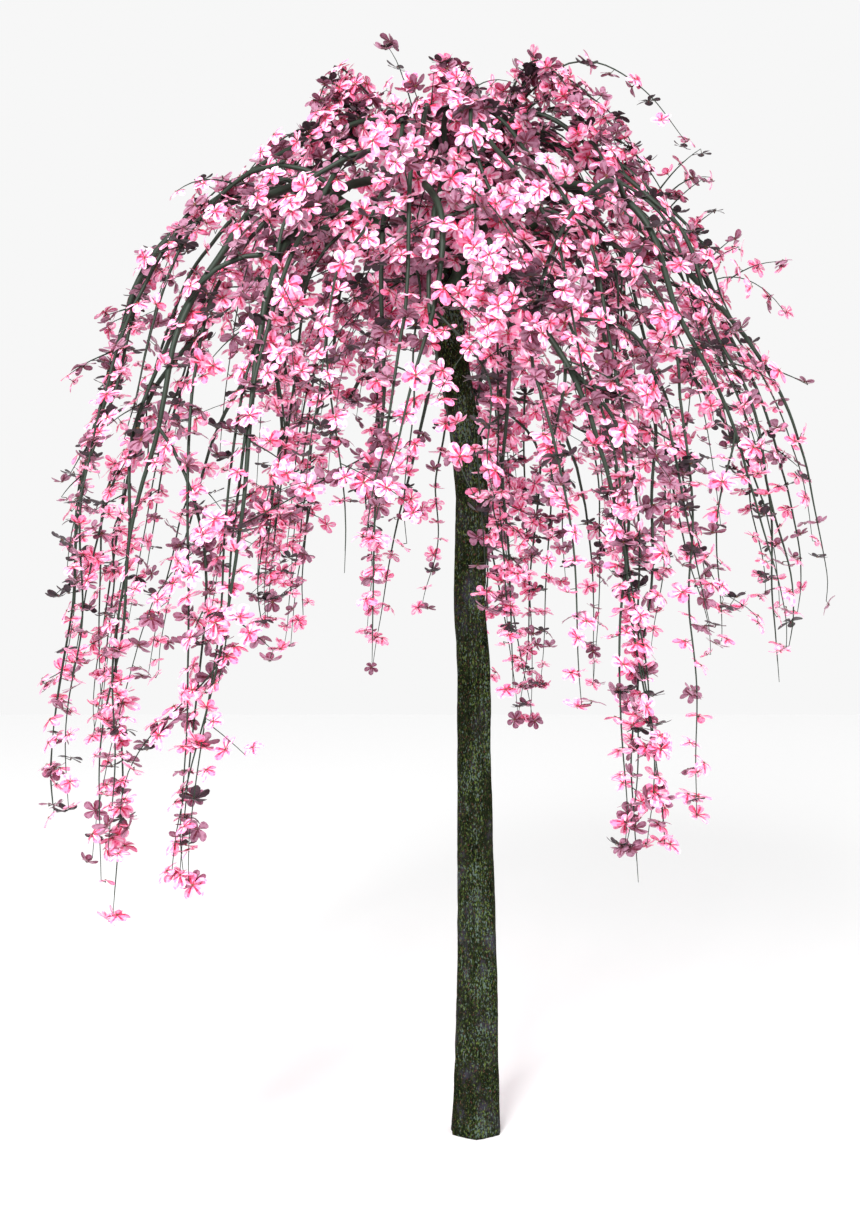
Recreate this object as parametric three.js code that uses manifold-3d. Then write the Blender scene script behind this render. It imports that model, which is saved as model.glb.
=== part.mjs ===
// A weeping cherry in blossom, about 3 m tall: a leaning trunk with a knuckle where it was grafted,
// eight boughs and three leaders that spring from the knuckle, and a crown of separate masses of
// blossom: a cap with tufts on it, eight shoulders, and tresses that hang round the open space
// under them, with a few bare shoots that trail below.
// Millimetres, +Z up. The origin is the middle of the flat cut at ground level, and the parted
// front of the crown faces -Y. Azimuths are in degrees from +X, anticlockwise seen from above.

import * as THREE from "three";
import { mergeVertices } from "three/addons/utils/BufferGeometryUtils.js";
import Module from "manifold-3d";

const wasm = await Module();
wasm.setup();

// ---- Driving dimensions ----

const GAP = 0.4; // clearance between a limb's cut end and what it meets

// The trunk at each height: how far it leans along X, and its radius.
const TRUNK = [
  { height: 0, lean: 0, radius: 71 },
  { height: 90, lean: 2, radius: 67 },
  { height: 260, lean: 3, radius: 62 },
  { height: 660, lean: 0, radius: 53 },
  { height: 1055, lean: -7, radius: 49 },
  { height: 1330, lean: -10, radius: 46 },
  { height: 1500, lean: -24, radius: 44 },
  { height: 1775, lean: -12, radius: 48 },
  { height: 1995, lean: -39, radius: 43 },
  { height: 2150, lean: -64, radius: 41 },
  { height: 2300, lean: -88, radius: 46 },
  { height: 2400, lean: -92, radius: 44 },
  { height: 2450, lean: -92, radius: 25 },
];
const TRUNK_BOW = 16; // how far the trunk bows back, along Y, at mid height

// The crown's shell is a dome over the knuckle that turns into a hanging skirt.
const CROWN_LEAN = -90; // the crown's own upright axis stands this far along X
const SPRING = 1800; // height at which the dome turns upright
const DOME_RISE = 985; // from there to the top of the shell's middle surface

const SECTORS = 8; // a bough, a shoulder, an inner tress and two outer tresses in each
const SECTOR_DEG = 360 / SECTORS;
const TRESSES = 2 * SECTORS;
const TRESS_DEG = 360 / TRESSES;

// Outer tresses, one in each slice from azimuth 0 onwards: how far out it hangs, the height of its tip,
// and how many degrees it has swung round the crown by then. The front ones, round azimuth 270,
// are short and drawn in, so that the crown is parted there.
const TRESS_TABLE = [
  { reach: 940, tip: 1440, turn: 1 },
  { reach: 930, tip: 1270, turn: -2 },
  { reach: 920, tip: 1170, turn: 2 },
  { reach: 905, tip: 1020, turn: -1 },
  { reach: 900, tip: 1200, turn: 1 },
  { reach: 910, tip: 1290, turn: -2 },
  { reach: 930, tip: 1220, turn: 2 },
  { reach: 955, tip: 1070, turn: -1 },
  { reach: 975, tip: 930, turn: -1 },
  { reach: 970, tip: 840, turn: 1 },
  { reach: 925, tip: 890, turn: -4 },
  { reach: 780, tip: 1680, turn: -2 },
  { reach: 720, tip: 1770, turn: 2 },
  { reach: 840, tip: 965, turn: -3 },
  { reach: 890, tip: 1400, turn: 1 },
  { reach: 935, tip: 1500, turn: 1 },
];
const TRESS_DRIFT = 80; // how far a tress moves outwards on its way down to its tip
const TRESS_FROM_DEG = 52; // the dome's angle, from its top, at which the tresses begin
const TRESS_HANGS_DEG = 80; // and the angle below which they hang free
const TRESS_INSET = 50; // how far their tops are tucked in under the shoulders
const TRESS_DEPTH = 105; // half the thickness of a tress, measured outwards
const TRESS_TAPER = 0.45; // share of its width that a tress has lost at its tip

// Inner tresses hang under the shoulders, near the trunk: the height of each one's tip.
const INNER_TIP = [1620, 1470, 1520, 1520, 1450, 1580, 1280, 1570];
const INNER_REACH = 0.52; // share of the outer tresses' reach
const INNER_TOP = 2560;
const INNER_WIDTH = 125;
const INNER_DEPTH = 95;

const SHOULDER_FROM = 300; // a shoulder starts this far from the crown's axis, at the cap's rim
const SHOULDER_TO_DEG = 66; // and ends at this angle on the dome
const SHOULDER_DEPTH = 105;
const FILL = 1.15; // how much of its slice of the crown a mass would fill sideways, if uncut
const UNLIKE = 0.16; // how far masses of one kind differ from each other in width and length

const CAP = { radius: 360, middle: 2750, depth: 120 };

// Tufts of upright shoots on the cap: azimuth, distance from the crown's axis, foot, top, half width.
const TUFTS = [
  { azimuth: 198, out: 290, foot: 2740, top: 2950, width: 95 },
  { azimuth: 80, out: 35, foot: 2790, top: 3000, width: 80 },
  { azimuth: 340, out: 240, foot: 2760, top: 2960, width: 110 },
];

// Boughs leave the trunk in two whorls and end in the shoulders.
const BOUGH_FROM = [2270, 2350]; // heights of the two whorls
const BOUGH_ROOT = 21; // radius where a bough leaves the trunk
const BOUGH_TIP = 13; // radius where it enters its shoulder
const BOUGH_ENTERS_DEG = 29; // the dome's angle where it enters
const BOUGH_RISE = 45; // how far a bough arches above a straight line
const LEADERS = [22, 112, 292]; // azimuths of the three leaders that enter the cap
const LEADER_FROM = 2390;
const LEADER_APART = 24; // how far from the trunk's middle each one starts
const LEADER_OUT = 120; // and how far from the crown's axis it ends
const LEADER_ROOT = 14;
const LEADER_TIP = 9;

// Bare shoots that trail below the tresses: azimuth, distance out, where each tip hangs,
// and the height above which it is hidden in its tress.
const TRAILING = [
  { azimuth: 217, out: 1015, tip: 765, from: 1050 },
  { azimuth: 300, out: 890, tip: 885, from: 1130 },
  { azimuth: 331, out: 950, tip: 1320, from: 1640 },
  { azimuth: 254, out: 850, tip: 1610, from: 1860 },
  { azimuth: 258, out: 830, tip: 1400, from: 1780 },
];
const TRAILING_ROOT = 7;
const TRAILING_TIP = 2.5;

// Facets round each kind of solid, and along it.
const TRUNK_SIDES = 14;
const BOUGH_MESH = { sides: 8, steps: 6 };
const TRAILING_MESH = { sides: 5, steps: 3 };
const SHOULDER_MESH = { sides: 12, steps: 8 };
const TRESS_MESH = { sides: 9, steps: 10 };
const INNER_MESH = { sides: 7, steps: 8 };
const CAP_MESH = { sides: 14, steps: 7 };
const TUFT_MESH = { sides: 7, steps: 5 };

// ---- Materials ----

const bark = new THREE.MeshStandardMaterial({ color: 0x343a2c, roughness: 0.9, metalness: 0 });
const youngBark = new THREE.MeshStandardMaterial({ color: 0x2f3d2c, roughness: 0.8, metalness: 0 });
const blossom = new THREE.MeshStandardMaterial({ color: 0xe58fb0, roughness: 0.85, metalness: 0 });

// ---- Shapes ----

const UP = new THREE.Vector3(0, 0, 1);
const radians = THREE.MathUtils.degToRad;
const lerp = THREE.MathUtils.lerp;

// A repeatable source of numbers from 0 to 1.
function seeded(seed) {
  let state = seed * 7919 + 104729;
  return () => {
    state = (state * 48271) % 2147483647;
    return state / 2147483647;
  };
}

// The outward and the sideways direction at an azimuth.
const outwards = (azimuth) => new THREE.Vector3(Math.cos(radians(azimuth)), Math.sin(radians(azimuth)), 0);
const sideways = (azimuth) => new THREE.Vector3(-Math.sin(radians(azimuth)), Math.cos(radians(azimuth)), 0);

// A point at an azimuth, a distance from the crown's axis and a height.
function inCrown(azimuth, out, height) {
  return outwards(azimuth).multiplyScalar(out).add(new THREE.Vector3(CROWN_LEAN, 0, height));
}

// A point on the dome's middle surface: angle 0 is its top and 90 the spring.
function onDome(azimuth, angle, reach) {
  const height = SPRING + DOME_RISE * Math.cos(radians(angle));
  return inCrown(azimuth, reach * Math.sin(radians(angle)), height);
}

// Wraps a point that lies off an azimuth's upright plane round the crown's axis, as a curtain hangs.
function wrapped(point, azimuth) {
  const off = point.clone().sub(new THREE.Vector3(CROWN_LEAN, 0, 0));
  const out = off.dot(outwards(azimuth));
  const turn = THREE.MathUtils.radToDeg(off.dot(sideways(azimuth)) / out);
  return inCrown(azimuth + turn, out, point.z);
}

// A closed solid swept along a curve. Each of its rings is an oval, half `width(u)` across `side` and
// half `depth(u)` the other way, with u from 0 to 1 along the curve. `rough(ring, corner)` scales a
// corner, `spread` spaces the rings, `bend` moves each point, and `level` keeps the rings horizontal.
// A ring of no size isn't made: the solid closes there in one point, and it closes flat where the end
// ring has a size.
const asIs = (value) => value;
function sweep({ curve, side, width, depth, sides, steps, ...options }) {
  const { rough = () => 1, spread = asIs, bend = asIs, level = false } = options;
  const positions = [];
  const rings = [];
  const addPoint = (point) => {
    const { x, y, z } = bend(point);
    return positions.push(x, y, z) / 3 - 1;
  };
  const start = addPoint(curve.getPoint(0));
  for (let i = 0; i <= steps; i++) {
    const u = spread(i / steps);
    if (width(u) <= 0) continue;
    const along = level ? UP : curve.getTangent(u);
    const across = side.clone().addScaledVector(along, -side.dot(along)).normalize();
    const over = new THREE.Vector3().crossVectors(along, across);
    const ring = [];
    for (let j = 0; j < sides; j++) {
      const turn = (2 * Math.PI * j) / sides;
      const scale = rough(i, j);
      const corner = curve
        .getPoint(u)
        .addScaledVector(across, width(u) * scale * Math.cos(turn))
        .addScaledVector(over, depth(u) * scale * Math.sin(turn));
      ring.push(addPoint(corner));
    }
    rings.push(ring);
  }
  const end = addPoint(curve.getPoint(1));
  const triangles = [];
  for (let j = 0; j < sides; j++) {
    const next = (j + 1) % sides;
    triangles.push(start, rings[0][next], rings[0][j]);
    triangles.push(end, rings.at(-1)[j], rings.at(-1)[next]);
    for (let i = 1; i < rings.length; i++) {
      const [below, above] = [rings[i - 1], rings[i]];
      triangles.push(below[j], below[next], above[next], below[j], above[next], above[j]);
    }
  }
  return new THREE.BufferGeometry()
    .setAttribute("position", new THREE.Float32BufferAttribute(positions, 3))
    .setIndex(triangles);
}

// 0 at both ends of a mass and nearly 1 between them: blunter where it starts than at its tip.
const BLUNT = { start: 3.4, tip: 2.4 };
function swell(u) {
  const power = u < 0.5 ? BLUNT.start : BLUNT.tip;
  return Math.max(0, 1 - Math.abs(2 * u - 1) ** power) ** (1 / power);
}

// Rings that stand closer together towards both ends of a mass, where it rounds over.
const closerAtEnds = (share) => 0.5 - 0.5 * Math.cos(Math.PI * share);

// Dents in a mass: slow hollows that wind round it, and a small random unevenness. They only go inwards,
// so that a mass stays in its own slice of the crown.
const HOLLOWS = 0.16;
const ROUGHNESS = 0.13;
function dents(seed, { sides, steps }) {
  const random = seeded(seed);
  const [phase, twist, lobes] = [2 * Math.PI * random(), 3 + 3 * random(), 2 + Math.round(random())];
  const grain = Array.from({ length: (steps + 1) * sides }, random);
  return (i, j) => {
    const wave = Math.sin(phase + (lobes * 2 * Math.PI * j) / sides + (twist * i) / steps);
    return 1 - HOLLOWS * (0.5 + 0.5 * wave) - ROUGHNESS * grain[i * sides + j];
  };
}

// A factor near 1, so that masses of one kind aren't all of one size.
const unlike = (seed) => 1 + UNLIKE * (seeded(seed)() - 0.5);

// How far out the crown hangs in a sector.
const sectorReach = (sector) => (TRESS_TABLE[2 * sector].reach + TRESS_TABLE[2 * sector + 1].reach) / 2;

// A mass of blossom along a curve. `skin` is added all over.
function mass({ points, azimuth, width, depth, mesh, seed, skin = 0, wrap = true }) {
  const curve = new THREE.CatmullRomCurve3(points);
  const [startWay, endWay] = [curve.getTangent(0), curve.getTangent(1)];
  curve.points[0].addScaledVector(startWay, -skin);
  curve.points.at(-1).addScaledVector(endWay, skin);
  const grown = (size) => (u) => {
    const bulge = swell(u);
    return bulge > 1e-4 ? size(u) * bulge + skin : 0;
  };
  return sweep({
    curve,
    side: sideways(azimuth),
    width: grown(width),
    depth: grown(depth),
    rough: dents(seed, mesh),
    spread: closerAtEnds,
    bend: wrap ? (point) => wrapped(point, azimuth) : asIs,
    ...mesh,
  });
}

function shoulder(sector, skin) {
  const azimuth = SECTOR_DEG * (sector + 0.5);
  const reach = sectorReach(sector);
  const startAngle = THREE.MathUtils.radToDeg(Math.asin(SHOULDER_FROM / reach));
  const angleAt = (u) => lerp(startAngle, SHOULDER_TO_DEG * unlike(30 + sector), u);
  const halfSlice = radians(SECTOR_DEG / 2) * FILL * unlike(20 + sector);
  return mass({
    points: [0, 1 / 3, 2 / 3, 1].map((u) => onDome(azimuth, angleAt(u), reach)),
    azimuth,
    width: (u) => reach * Math.sin(radians(angleAt(u))) * halfSlice,
    depth: () => SHOULDER_DEPTH,
    mesh: SHOULDER_MESH,
    seed: 20 + sector,
    skin,
  });
}

// The outer tresses stand either side of their sector's middle.
const tressAzimuth = (index) => TRESS_DEG * (index + 0.5);

function tress(index, skin) {
  const azimuth = tressAzimuth(index);
  const { reach, tip, turn } = TRESS_TABLE[index];
  const halfSlice = reach * radians(TRESS_DEG / 2) * FILL * unlike(40 + index);
  const hangsFrom = onDome(azimuth, TRESS_HANGS_DEG, reach).z;
  const hanging = (share) =>
    inCrown(azimuth + turn * share, reach + TRESS_DRIFT * share, lerp(hangsFrom, tip, share));
  return mass({
    points: [
      onDome(azimuth, TRESS_FROM_DEG, reach - TRESS_INSET),
      onDome(azimuth, (TRESS_FROM_DEG + TRESS_HANGS_DEG) / 2, reach - TRESS_INSET / 2),
      hanging(0),
      hanging(1 / 3),
      hanging(2 / 3),
      hanging(1),
    ],
    azimuth,
    width: (u) => halfSlice * (1 - TRESS_TAPER * u * u),
    depth: (u) => TRESS_DEPTH * (1 - TRESS_TAPER * u * u),
    mesh: TRESS_MESH,
    seed: 40 + index,
    skin,
  });
}

function innerTress(sector, skin) {
  const azimuth = SECTOR_DEG * (sector + 0.5);
  const [out, tip] = [sectorReach(sector) * INNER_REACH, INNER_TIP[sector]];
  return mass({
    points: [
      inCrown(azimuth, out - 30, INNER_TOP),
      inCrown(azimuth, out, (INNER_TOP + tip) / 2),
      inCrown(azimuth, out + 20, tip),
    ],
    azimuth,
    width: (u) => INNER_WIDTH * (1 - TRESS_TAPER * u * u),
    depth: (u) => INNER_DEPTH * (1 - TRESS_TAPER * u * u),
    mesh: INNER_MESH,
    seed: 80 + sector,
    skin,
  });
}

// The cap is swept upwards through the crown's axis, so its rings are level.
function cap(skin) {
  const { radius, middle, depth } = CAP;
  return mass({
    points: [middle - depth, middle, middle + depth].map((height) => inCrown(0, 0, height)),
    azimuth: 0,
    width: () => radius,
    depth: () => radius,
    mesh: CAP_MESH,
    seed: 7,
    skin,
    wrap: false,
  });
}

function tuft({ azimuth, out, foot, top, width }, seed, skin) {
  return mass({
    points: [foot, (foot + top) / 2, top].map((height) => inCrown(azimuth, out, height)),
    azimuth,
    width: () => width,
    depth: () => width,
    mesh: TUFT_MESH,
    seed,
    skin,
    wrap: false,
  });
}

// The middle of the trunk at a height, between the stations where it changes.
function trunkMiddle(height) {
  const above = Math.max(1, TRUNK.findIndex((station) => station.height >= height));
  const [low, high] = [TRUNK[above - 1], TRUNK[above]];
  const share = (height - low.height) / (high.height - low.height);
  const bow = TRUNK_BOW * Math.sin((Math.PI * height) / TRUNK.at(-1).height);
  return new THREE.Vector3(lerp(low.lean, high.lean, share), bow, height);
}

// The trunk's rings are level, so that it stands on a flat cut.
function trunk(skin = 0) {
  const heights = TRUNK.map(({ height }) => height);
  const radii = new THREE.SplineCurve(TRUNK.map(({ radius }, i) => new THREE.Vector2(i, radius + skin)));
  const radius = (u) => radii.getPoint(u).y;
  const curve = new THREE.CatmullRomCurve3(heights.map(trunkMiddle));
  curve.points.at(-1).z += skin;
  return sweep({
    curve,
    side: outwards(0),
    width: radius,
    depth: radius,
    sides: TRUNK_SIDES,
    steps: 2 * (TRUNK.length - 1),
    level: true,
  });
}

// A tapering limb from one point to another that arches upwards on its way.
function limb({ from, to, rise, root, tip, side, mesh }) {
  const quarter = (share) => from.clone().lerp(to, share).addScaledVector(UP, rise * 4 * share * (1 - share));
  const radius = (u) => lerp(root, tip, u);
  const curve = new THREE.CatmullRomCurve3([0, 0.25, 0.5, 0.75, 1].map(quarter));
  return sweep({ curve, side, width: radius, depth: radius, ...mesh });
}

// ---- Cutting and joining ----

function toSolid(geometry) {
  const bare = new THREE.BufferGeometry()
    .setAttribute("position", geometry.getAttribute("position"))
    .setIndex(geometry.getIndex());
  const merged = mergeVertices(bare, 1e-3);
  return new wasm.Manifold(
    new wasm.Mesh({
      numProp: 3,
      vertProperties: merged.getAttribute("position").array,
      triVerts: new Uint32Array(merged.getIndex().array),
    }),
  );
}

function toGeometry(solid) {
  const { vertProperties, triVerts } = solid.getMesh();
  return new THREE.BufferGeometry()
    .setAttribute("position", new THREE.BufferAttribute(vertProperties, 3))
    .setIndex(new THREE.BufferAttribute(triVerts, 1));
}

// A shape cut back to the faces of the solids it meets. Only its largest piece is kept.
function cutBack(geometry, ...neighbours) {
  const cut = neighbours.reduce((solid, other) => solid.subtract(toSolid(other)), toSolid(geometry));
  const pieces = cut.decompose();
  return toGeometry(pieces.reduce((largest, piece) => (piece.volume() > largest.volume() ? piece : largest)));
}

// ---- The tree ----

const tree = new THREE.Group();

function add(name, geometry, material) {
  const mesh = new THREE.Mesh(geometry, material);
  mesh.name = name;
  tree.add(mesh);
}

// Each mass gives way to the ones before it, with a gap, so that they pack together.
const packed = [];
function addMass(name, shape) {
  add(name, cutBack(shape(0), ...packed), blossom);
  packed.push(shape(GAP));
}

addMass("cap", (skin) => cap(skin));
TUFTS.forEach((sizes, i) => addMass(`tuft_${i + 1}`, (skin) => tuft(sizes, 90 + i, skin)));
for (let sector = 0; sector < SECTORS; sector++) {
  addMass(`shoulder_${sector + 1}`, (skin) => shoulder(sector, skin));
}
for (let index = 0; index < TRESSES; index++) {
  addMass(`tress_${index + 1}`, (skin) => tress(index, skin));
}
for (let sector = 0; sector < SECTORS; sector++) {
  addMass(`inner_tress_${sector + 1}`, (skin) => innerTress(sector, skin));
}

add("trunk", trunk(), bark);

for (let sector = 0; sector < SECTORS; sector++) {
  const azimuth = SECTOR_DEG * (sector + 0.5);
  const bough = limb({
    from: trunkMiddle(BOUGH_FROM[sector % 2]),
    to: onDome(azimuth, BOUGH_ENTERS_DEG, sectorReach(sector)),
    rise: BOUGH_RISE,
    root: BOUGH_ROOT,
    tip: BOUGH_TIP,
    side: sideways(azimuth),
    mesh: BOUGH_MESH,
  });
  add(`bough_${sector + 1}`, cutBack(bough, trunk(GAP), ...packed), bark);
}

LEADERS.forEach((azimuth, index) => {
  const leader = limb({
    from: trunkMiddle(LEADER_FROM).addScaledVector(outwards(azimuth), LEADER_APART),
    to: inCrown(azimuth, LEADER_OUT, CAP.middle),
    rise: 0,
    root: LEADER_ROOT,
    tip: LEADER_TIP,
    side: sideways(azimuth),
    mesh: BOUGH_MESH,
  });
  add(`leader_${index + 1}`, cutBack(leader, trunk(GAP), ...packed), bark);
});

TRAILING.forEach(({ azimuth, out, tip, from }, index) => {
  const shoot = limb({
    from: inCrown(azimuth, out - 30, from),
    to: inCrown(azimuth, out, tip),
    rise: 0,
    root: TRAILING_ROOT,
    tip: TRAILING_TIP,
    side: sideways(azimuth),
    mesh: TRAILING_MESH,
  });
  add(`trailing_shoot_${index + 1}`, cutBack(shoot, ...packed), youngBark);
});

export default tree;
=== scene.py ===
# A weeping cherry in blossom, which grows on from the solids of the frame: every limb starts from a bough
# or leader, hangs down through a foliage mass, and sends out shoots that arch over and hang in turn.
# Metres, +Z up, with the parted front of the crown facing -Y.

import math

import bpy
import numpy as np
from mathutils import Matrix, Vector, noise
from mathutils.bvhtree import BVHTree


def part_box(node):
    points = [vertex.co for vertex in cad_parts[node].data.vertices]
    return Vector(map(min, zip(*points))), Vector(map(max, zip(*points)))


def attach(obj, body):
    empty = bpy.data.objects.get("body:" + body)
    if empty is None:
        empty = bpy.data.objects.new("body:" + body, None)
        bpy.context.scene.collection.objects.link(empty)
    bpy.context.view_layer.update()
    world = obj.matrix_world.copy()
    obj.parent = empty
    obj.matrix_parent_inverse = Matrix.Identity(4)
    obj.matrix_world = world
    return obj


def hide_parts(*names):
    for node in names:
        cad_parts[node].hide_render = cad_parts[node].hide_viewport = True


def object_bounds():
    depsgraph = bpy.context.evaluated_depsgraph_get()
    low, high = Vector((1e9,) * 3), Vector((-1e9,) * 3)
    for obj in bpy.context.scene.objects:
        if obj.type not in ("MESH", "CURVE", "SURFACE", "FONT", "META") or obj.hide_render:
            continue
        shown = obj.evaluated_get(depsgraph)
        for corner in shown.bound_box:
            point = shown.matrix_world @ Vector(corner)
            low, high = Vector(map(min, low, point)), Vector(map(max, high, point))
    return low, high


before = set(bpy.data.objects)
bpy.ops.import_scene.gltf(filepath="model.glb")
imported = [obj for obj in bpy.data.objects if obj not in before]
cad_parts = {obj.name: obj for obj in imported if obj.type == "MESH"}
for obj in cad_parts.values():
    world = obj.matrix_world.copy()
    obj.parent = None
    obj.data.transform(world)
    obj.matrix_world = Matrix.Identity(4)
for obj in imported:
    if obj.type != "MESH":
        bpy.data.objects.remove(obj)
frame_corners = [list(corner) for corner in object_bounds()]

# ---- Sizes of the plant ----

GROWTH_SEED = 2227
SECTORS = 8  # each has a bough, a shoulder, two outer tresses and an inner one; the top is one more
TRESSES = 2 * SECTORS
UP = np.array([0.0, 0.0, 1.0])
STEP = 0.025  # between the points of a stem
SIDES = {"bough": 14, "limb": 9, "shoot": 5, "twig": 3}  # faces round each kind of stem

FLOWER_FORMS = 14
FLOWER_ACROSS = (0.060, 0.082)  # a little over life size
TIP_SIZE = 0.82  # size of the flowers at the end of a stem, as a share of those at its start
NODE_GAP = (0.050, 0.074)  # between the buds along a flowering shoot
FLOWERS_AT_NODE = (0.66, 0.29, 0.05)  # share of nodes with one, two and three flowers
GOLDEN_TURN = 2.4  # radians from one bud to the next round a stem
STALK = (0.010, 0.024)  # length of a flower's stalk
STALK_RADII = (0.0009, 0.0012)
FRESH, MAUVE_SHADE = 0, 1
# The shares of fresh flowers, of flowers in painted mauve shade and of flowers in painted deep shade
# (darker copies of the petal colours): the first at a node, and others.
TINT_SHARES = ((0.64, 0.23, 0.13), (0.49, 0.31, 0.20))
TINT_SHARES_LOW = ((0.68, 0.27, 0.05), (0.54, 0.36, 0.10))  # on the tips that hang free, below LOW
LOW = 1.45

FLOWER_ROOM = 0.115  # how far a flower may stand out of the foliage masses
TWIG_ROOM = 0.060  # and how far a twig may
LESS_OUTSIDE = 0.05  # how much less of that room is on the outer side, and more on the inner
BOX_ROOM = 0.02  # how far either may stand out of the tree's outline box
HOLLOW_OUT = 0.80  # the hollow of the crown: how far out, how low and how high shoots fill it
HOLLOW_FLOOR, HOLLOW_CEILING = 1.62, 2.62
PARTING = (-0.21, -0.08)  # the lane through the crown that few shoots hang in, as X from its axis

# Shares of the way down at which the tresses are measured.
OUTER_CUTS = (0.2, 0.32, 0.45, 0.58, 0.7, 0.82, 0.92, 0.985)
INNER_CUTS = (0.06, 0.2, 0.4, 0.6, 0.8, 0.92, 0.985)
FULLNESS = 0.95  # width of a curtain at its tips, as a share of its greatest width
OUTWARD = 0.9  # how far shoots lean out on their way down: shares of a curtain's depth in a metre
# The furthest out that they hang, as a share of the curtain's depth, at shares of the way down.
OUTERMOST = ((0.0, 0.25, 0.5, 0.75, 1.0), (0.5, 0.3, -0.3, 0.0, 0.8))
ALL_THE_WAY = 9  # a length greater than any curtain's
SWAY = 0.007  # how far a hanging stem wanders sideways

# Radii: the end of a limb, the end of a shoot, and the thickest that a shoot leaves its limb.
LIMB_TIP, HAIR, SHOOT_ROOT = 0.0010, 0.0009, 0.0068
FOUNTAINS = 5  # limbs that arch over from the tip of each leader
SHOOTS_IN_TRESS = (1, 1, 4, 6, 2, 2, 3, 3, 3, 4, 5, 1, 2, 8, 1, 1)  # from the +X side round
# How far they lean away from the parting and hang to the side, as shares of half the curtain's width.
SHOOTS_LEAN, SHOOTS_ACROSS = 0.35, 1.35
SHOOTS_IN_INNER_TRESS = 3
LOWEST_TIP = 0.82  # a trailing shoot that ends lower than this keeps a flower at its end
# How many stems arch over in each tuft, and how far they reach, as a share of its width.
LOOPS = {"tuft_1": (3, 0.6), "tuft_2": (3, 0.8), "tuft_3": (5, 1.4)}
# The lone shoot that arches out of the last tuft: how far out, and how far over the tuft's top.
LONE_ARC = ((0.05, -0.06), (0.12, -0.035), (0.21, -0.05), (0.32, -0.13), (0.42, -0.26))

# The short stems: how many, how long, how fast they sag, how much they wander, and whether they are
# free to leave the foliage masses.
PLUMB = (2, (0.30, 0.95), (8, 16), 0.6, False)  # from each limb, straight down into the hollow
UNDER_BOUGH = (6, (0.15, 0.42), (7, 12), 0.5, True)  # straight down from each bough
SPRAY = (20, (0.34, 0.62), (3, 8), 0.8, False)  # standing up round the top
TOP_SPRAY = (30, (0.14, 0.30), (2, 6), 0.8, False)  # standing up from the limbs near it
SHOULDER_SPRAY = (12, (0.10, 0.22), (2, 6), 0.5, True)  # standing out lower down
TWIG = (None, (0.08, 0.24), (3, 8), 1.2, False)
TWIG_GAP = 0.60  # between the twigs along a shoot

TRUNK_RINGS, TRUNK_SIDES = 260, 64
FLUTES = 0.85  # how sharply the trunk is fluted: 1 for flat sides
FLUTE_BED = 0.96  # radius at the middle of a flute, as a share of the trunk's
RIDGE_HEIGHT, LUMP_HEIGHT = 0.0026, 0.0035


# ---- The frame's solids, read as stems and as room to grow in ----


def unit(vector):
    """The vector at length 1."""
    return vector / np.maximum(np.linalg.norm(vector, axis=-1, keepdims=True), 1e-9)


def corners_and_edges(node):
    """Arrays of a frame solid's corners and edges."""
    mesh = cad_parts[node].data
    corners = np.empty(len(mesh.vertices) * 3)
    mesh.vertices.foreach_get("co", corners)
    edges = np.empty(len(mesh.edges) * 2, dtype=np.int32)
    mesh.edges.foreach_get("vertices", edges)
    return corners.reshape(-1, 3), edges.reshape(-1, 2)


def section(node, point, normal):
    """Where a plane cuts a frame solid: the middle of the cut and the points round it, or None."""
    corners, edges = corners_and_edges(node)
    beyond = (corners - point) @ normal
    first, last = edges.T
    cut = (beyond[first] < 0) != (beyond[last] < 0)
    if cut.sum() < 3:
        return None
    start, end = corners[first[cut]], corners[last[cut]]
    share = beyond[first[cut]] / (beyond[first[cut]] - beyond[last[cut]])
    ring = start + (end - start) * share[:, None]
    return (ring.min(axis=0) + ring.max(axis=0)) / 2, ring


def mean_radius(cut):
    """The mean distance of a cut's points from its middle."""
    middle, ring = cut
    return np.linalg.norm(ring - middle, axis=1).mean()


def level_cuts(node, shares):
    """The level sections of a frame solid at shares of the way down from its top."""
    low, high = box_of(node)
    cuts = [section(node, UP * (high[2] + (low[2] - high[2]) * share), UP) for share in shares]
    return [cut for cut in cuts if cut]


def box_of(node):
    """Lowest and highest corner of a frame solid, as arrays."""
    low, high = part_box(node)
    return np.array(low), np.array(high)


def search_tree(names):
    """A search tree of the skins of frame solids."""
    corners, faces = [], []
    for name in names:
        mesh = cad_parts[name].data
        faces += [[len(corners) + i for i in face.vertices] for face in mesh.polygons]
        corners += [corner.co.copy() for corner in mesh.vertices]
    return BVHTree.FromPolygons(corners, faces)


FOLIAGE = [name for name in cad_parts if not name.startswith(("trunk", "bough", "leader"))]
foliage_skins = search_tree(FOLIAGE)
dome_skins = search_tree([name for name in FOLIAGE if name.startswith(("cap", "shoulder"))])
LIMITS = np.array(frame_corners) + [[-BOX_ROOM], [BOX_ROOM]]
low, high = box_of("cap")
AXIS = (low + high) / 2 * (1, 1, 0)  # the foot of the crown's own upright axis


def depth_in_foliage(point):
    """How deep a point lies in the foliage masses; less than nothing outside them."""
    spot, normal, _, away = foliage_skins.find_nearest(Vector(point))
    return away if (spot - Vector(point)).dot(normal) > 0 else -away


def within_limits(points):
    """Whether points lie in the tree's outline box."""
    return np.all((points > LIMITS[0]) & (points < LIMITS[1]), axis=-1)


def in_crown(point, room):
    """Whether a point is in, or nearly in, the foliage masses or the hollow between them."""
    hollow = distance_out(point) < HOLLOW_OUT and HOLLOW_FLOOR < point[2] < HOLLOW_CEILING
    return hollow or depth_in_foliage(point + outwards(azimuth_of(point)) * LESS_OUTSIDE) > -room


def in_parting(point):
    """Whether a point is in the lane through the crown where it parts."""
    return PARTING[0] < point[0] - AXIS[0] < PARTING[1]


def outwards(azimuth):
    """The level direction at an azimuth in radians."""
    return np.array([math.cos(azimuth), math.sin(azimuth), 0.0])


def azimuth_of(point):
    """A point's azimuth round the crown's axis."""
    return math.atan2(point[1] - AXIS[1], point[0] - AXIS[0])


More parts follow.
